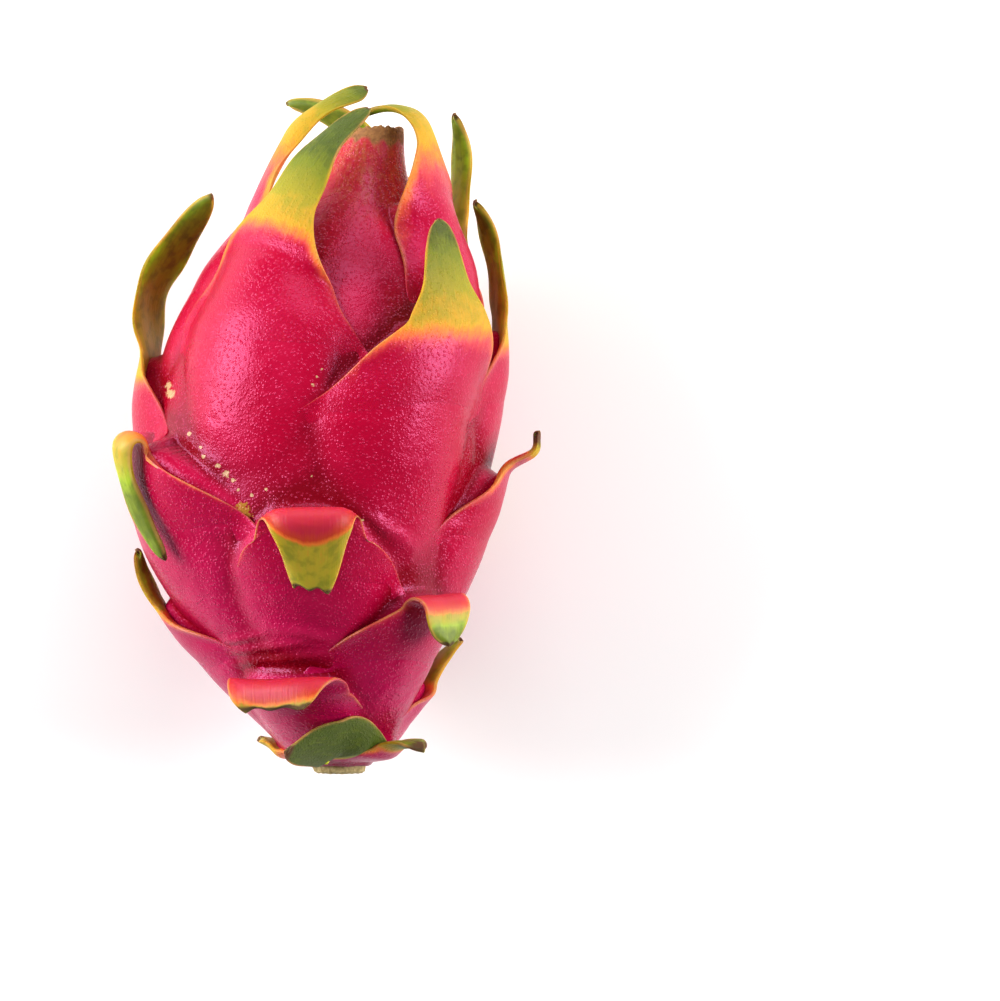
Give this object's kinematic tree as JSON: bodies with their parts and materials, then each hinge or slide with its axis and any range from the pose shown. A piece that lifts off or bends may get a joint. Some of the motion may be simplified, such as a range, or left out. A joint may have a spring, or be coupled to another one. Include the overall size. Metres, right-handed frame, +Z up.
{
  "type": "dragon fruit",
  "caption": "Whole ripe dragon fruit lying on its side: a plump crimson body with swollen scales whose green tongues stand up at the crown and fold back lower down.",
  "frame": {"origin": "middle of the small flat spot that the fruit rests on, on the surface under it", "axes": "+Y along the fruit, from the stem end to the crown; +Z up, away from the surface; +X to the right as seen from above with the crown ahead"},
  "size_m": [0.0943, 0.152, 0.0813],
  "materials": {
    "fruit_skin": "waxy, finely speckled fruit skin, turning yellow and green along the scales",
    "dry_flower": "dry and crumpled",
    "woody_stem": "rough and corky"
  },
  "bodies": {
    "root": {"fruit": "fruit_skin", "flower_remnant": "dry_flower", "stem_stub": "woody_stem"}
  },
  "joints": []
}
